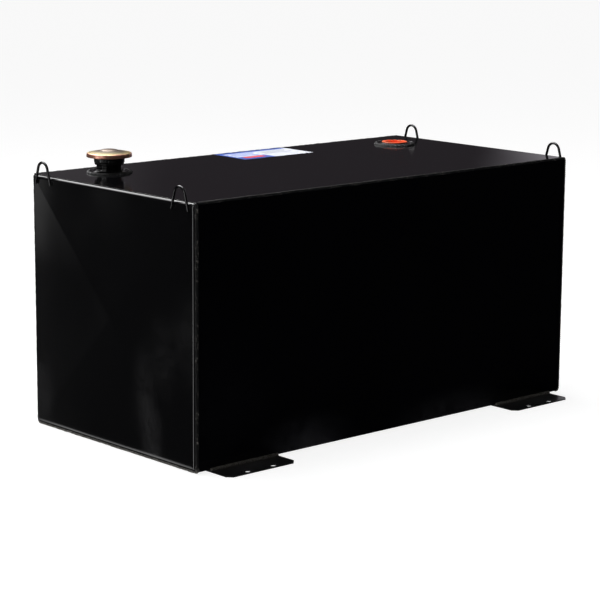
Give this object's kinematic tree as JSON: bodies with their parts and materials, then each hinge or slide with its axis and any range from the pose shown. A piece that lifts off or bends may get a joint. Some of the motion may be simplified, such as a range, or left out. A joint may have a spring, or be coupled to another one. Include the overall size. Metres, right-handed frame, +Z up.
{
  "type": "hydraulic reservoir",
  "caption": "Rectangular welded steel fluid reservoir on flat bolt-down feet, with lifting loops, a domed breather filler cap over a strainer and a plugged top port.",
  "frame": {"origin": "middle of the base, on the surface that the four feet stand on", "axes": "+X along the tank to the port end, -Y to the front wall, +Z up"},
  "size_m": [1.2322, 0.7456, 0.6694],
  "materials": {
    "black_paint": "semi-gloss black powder coat",
    "bare_steel": "bare mill steel",
    "gasket_rubber": "matte",
    "black_plastic": "gloss black moulding",
    "filter_foam": "open foam",
    "yellow_zinc": "iridescent yellow zinc plate",
    "red_plastic": "soft gloss moulding",
    "label_film": "printed film"
  },
  "bodies": {
    "tank": {"body_wrap": "black_paint", "top_panel": "black_paint", "left_end_panel": "black_paint", "right_end_panel": "black_paint", "left_baffle": "bare_steel", "right_baffle": "bare_steel", "front_left_foot": "black_paint", "front_right_foot": "black_paint", "back_left_foot": "black_paint", "back_right_foot": "black_paint", "front_left_loop": "black_paint", "front_right_loop": "black_paint", "back_left_loop": "black_paint", "back_right_loop": "black_paint", "filler_flange": "black_paint", "filler_neck": "black_paint", "strainer_basket": "bare_steel", "port_flange": "black_paint", "label": "label_film"},
    "gasket": {"cap_gasket": "gasket_rubber"},
    "cap": {"cap_collar": "black_plastic", "breather_plate": "bare_steel", "breather_element": "filter_foam", "cap_shell": "yellow_zinc"},
    "plug": {"port_plug": "red_plastic"}
  },
  "joints": [
    {"name": "cap_lift", "type": "slide", "parent": "tank", "child": "gasket", "axis": [0, 0, 1], "range_m": [0, 0.06]},
    {"name": "cap_turn", "type": "hinge", "parent": "gasket", "child": "cap", "pos_m": [-0.4572, 0.2032, 0.6506], "axis": [0, 0, 1], "range_deg": [0, 90]},
    {"name": "plug_lift", "type": "slide", "parent": "tank", "child": "plug", "axis": [0, 0, 1], "range_m": [0, 0.045]}
  ]
}
